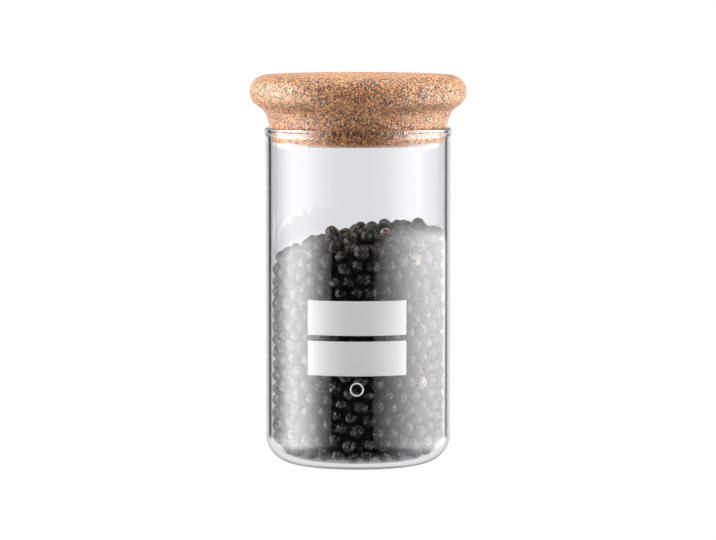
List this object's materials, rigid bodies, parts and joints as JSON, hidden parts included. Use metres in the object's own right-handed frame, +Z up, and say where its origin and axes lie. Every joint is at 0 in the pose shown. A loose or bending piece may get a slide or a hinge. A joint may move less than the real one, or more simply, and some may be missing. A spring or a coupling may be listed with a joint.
{
  "type": "storage jar",
  "caption": "Straight clear glass storage jar with a push-in turned cork stopper under a fat round bead, a plain printed label on the front and a fill of black peppercorns.",
  "frame": {"origin": "middle of the flat ring that the jar stands on, on the table's surface", "axes": "+Z up along the jar's axis, -Y out through the middle of the label, +X to the right of the label as it is read"},
  "size_m": [0.0692, 0.0692, 0.124],
  "materials": {
    "clear_glass": "clear, polished",
    "pressed_cork": "turned and sanded granulated cork, matt",
    "white_print": "fired white enamel, satin",
    "peppercorn": "dry, wrinkled, matt"
  },
  "bodies": {
    "jar": {"glass_jar": "clear_glass", "label_lower_panel": "white_print", "label_upper_panel": "white_print", "label_ring_mark": "white_print", "peppercorns": "peppercorn"},
    "lid": {"cork_lid": "pressed_cork"}
  },
  "joints": [
    {"name": "lid_lift", "type": "slide", "parent": "jar", "child": "lid", "axis": [0, 0, 1], "range_m": [0, 0.06]}
  ]
}
